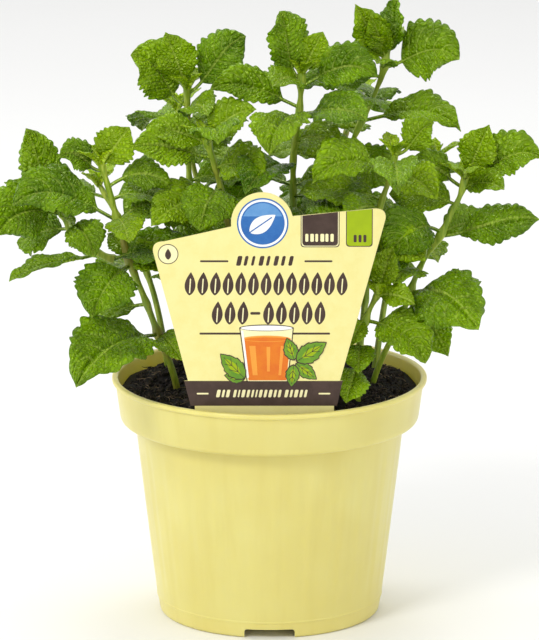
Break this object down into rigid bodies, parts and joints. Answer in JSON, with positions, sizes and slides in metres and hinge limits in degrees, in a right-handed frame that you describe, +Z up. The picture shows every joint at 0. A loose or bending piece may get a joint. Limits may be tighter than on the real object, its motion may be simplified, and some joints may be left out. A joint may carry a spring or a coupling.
{
  "type": "potted mint plant",
  "caption": "Leafy mint plant with upright square stems, rooted in potting soil in a round collared nursery pot with a die-cut push-in plant label.",
  "frame": {"origin": "middle of the pot's foot, on the surface that it stands on", "axes": "+Z up along the pot's axis, -Y towards the printed face of the plant label, +X to the right seen from there"},
  "size_m": [0.2034, 0.1448, 0.237],
  "materials": {
    "pot_plastic": "satin",
    "soil": "matte",
    "label_card": "satin",
    "stem": "satin",
    "leaf": "satin"
  },
  "bodies": {
    "root": {"leaf_back_left_1": "leaf", "leaf_back_left_2": "leaf", "leaf_centre_1": "leaf", "leaf_centre_2": "leaf", "leaf_centre_3": "leaf", "leaf_centre_4": "leaf", "leaf_centre_5": "leaf", "leaf_centre_6": "leaf", "leaf_centre_7": "leaf", "leaf_centre_left_1": "leaf", "leaf_centre_left_2": "leaf", "leaf_centre_left_3": "leaf", "leaf_left_1": "leaf", "leaf_left_2": "leaf", "leaf_left_3": "leaf", "leaf_left_4": "leaf", "leaf_left_5": "leaf", "leaf_left_6": "leaf", "leaf_left_7": "leaf", "leaf_low_right_1": "leaf", "leaf_mid_right_1": "leaf", "leaf_mid_right_2": "leaf", "leaf_mid_right_3": "leaf", "leaf_rear_left_1": "leaf", "leaf_rear_left_2": "leaf", "leaf_rear_right_1": "leaf", "leaf_rear_right_2": "leaf", "leaf_right_1": "leaf", "leaf_right_2": "leaf", "leaf_right_3": "leaf", "leaf_right_4": "leaf", "leaf_right_5": "leaf", "leaf_side_left_1": "leaf", "leaf_side_left_2": "leaf", "leaf_side_right_1": "leaf", "leaf_side_right_2": "leaf", "leaf_side_shoot_1": "leaf", "leaf_side_shoot_2": "leaf", "leaf_side_shoot_3": "leaf", "leaf_side_shoot_4": "leaf", "leaf_side_shoot_5": "leaf", "leaf_tall_right_1": "leaf", "leaf_tall_right_2": "leaf", "leaf_tall_right_3": "leaf", "plant_label": "label_card", "pot": "pot_plastic", "potting_soil": "soil", "stem_back_left": "stem", "stem_centre": "stem", "stem_centre_left": "stem", "stem_left": "stem", "stem_low_right": "stem", "stem_mid_right": "stem", "stem_rear_left": "stem", "stem_rear_right": "stem", "stem_right": "stem", "stem_side_left": "stem", "stem_side_right": "stem", "stem_side_shoot": "stem", "stem_tall_right": "stem"}
  },
  "joints": []
}
